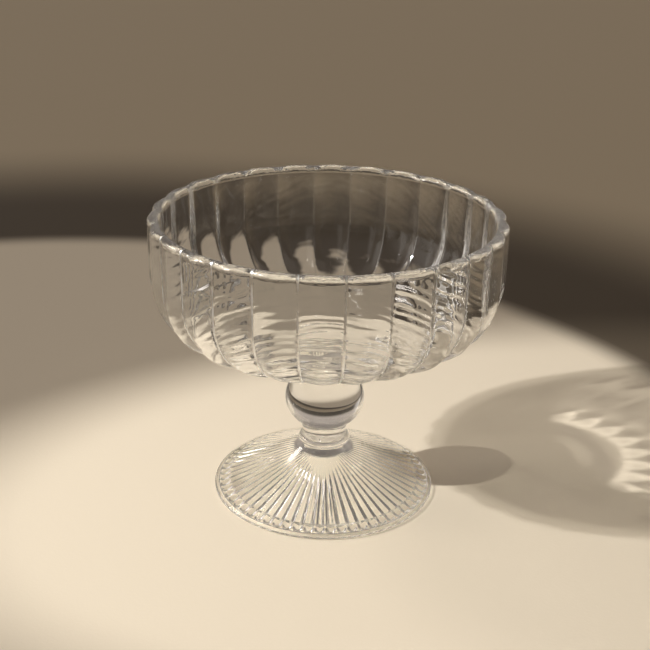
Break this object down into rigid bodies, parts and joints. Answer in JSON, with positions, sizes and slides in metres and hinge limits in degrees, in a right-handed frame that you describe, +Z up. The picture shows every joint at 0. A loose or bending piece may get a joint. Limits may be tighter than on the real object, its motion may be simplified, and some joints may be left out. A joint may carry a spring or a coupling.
{
  "type": "dessert cup",
  "caption": "Clear pressed-glass dessert cup: wide fluted bowl with a plain flat rim on a ball knop, short neck, collar and conical foot with a ribbed hollow underside.",
  "frame": {"origin": "centre of the foot's flat base, on the surface the cup stands on", "axes": "+Z up along the cup's axis, from the foot to the rim; -Y is the side that faces the picture's camera, with a flute's crest towards it"},
  "size_m": [0.1132, 0.114, 0.097],
  "materials": {
    "clear_glass": "clear, colourless, fire-polished"
  },
  "bodies": {
    "root": {"bowl": "clear_glass", "knop": "clear_glass", "neck": "clear_glass", "collar": "clear_glass", "foot": "clear_glass"}
  },
  "joints": []
}
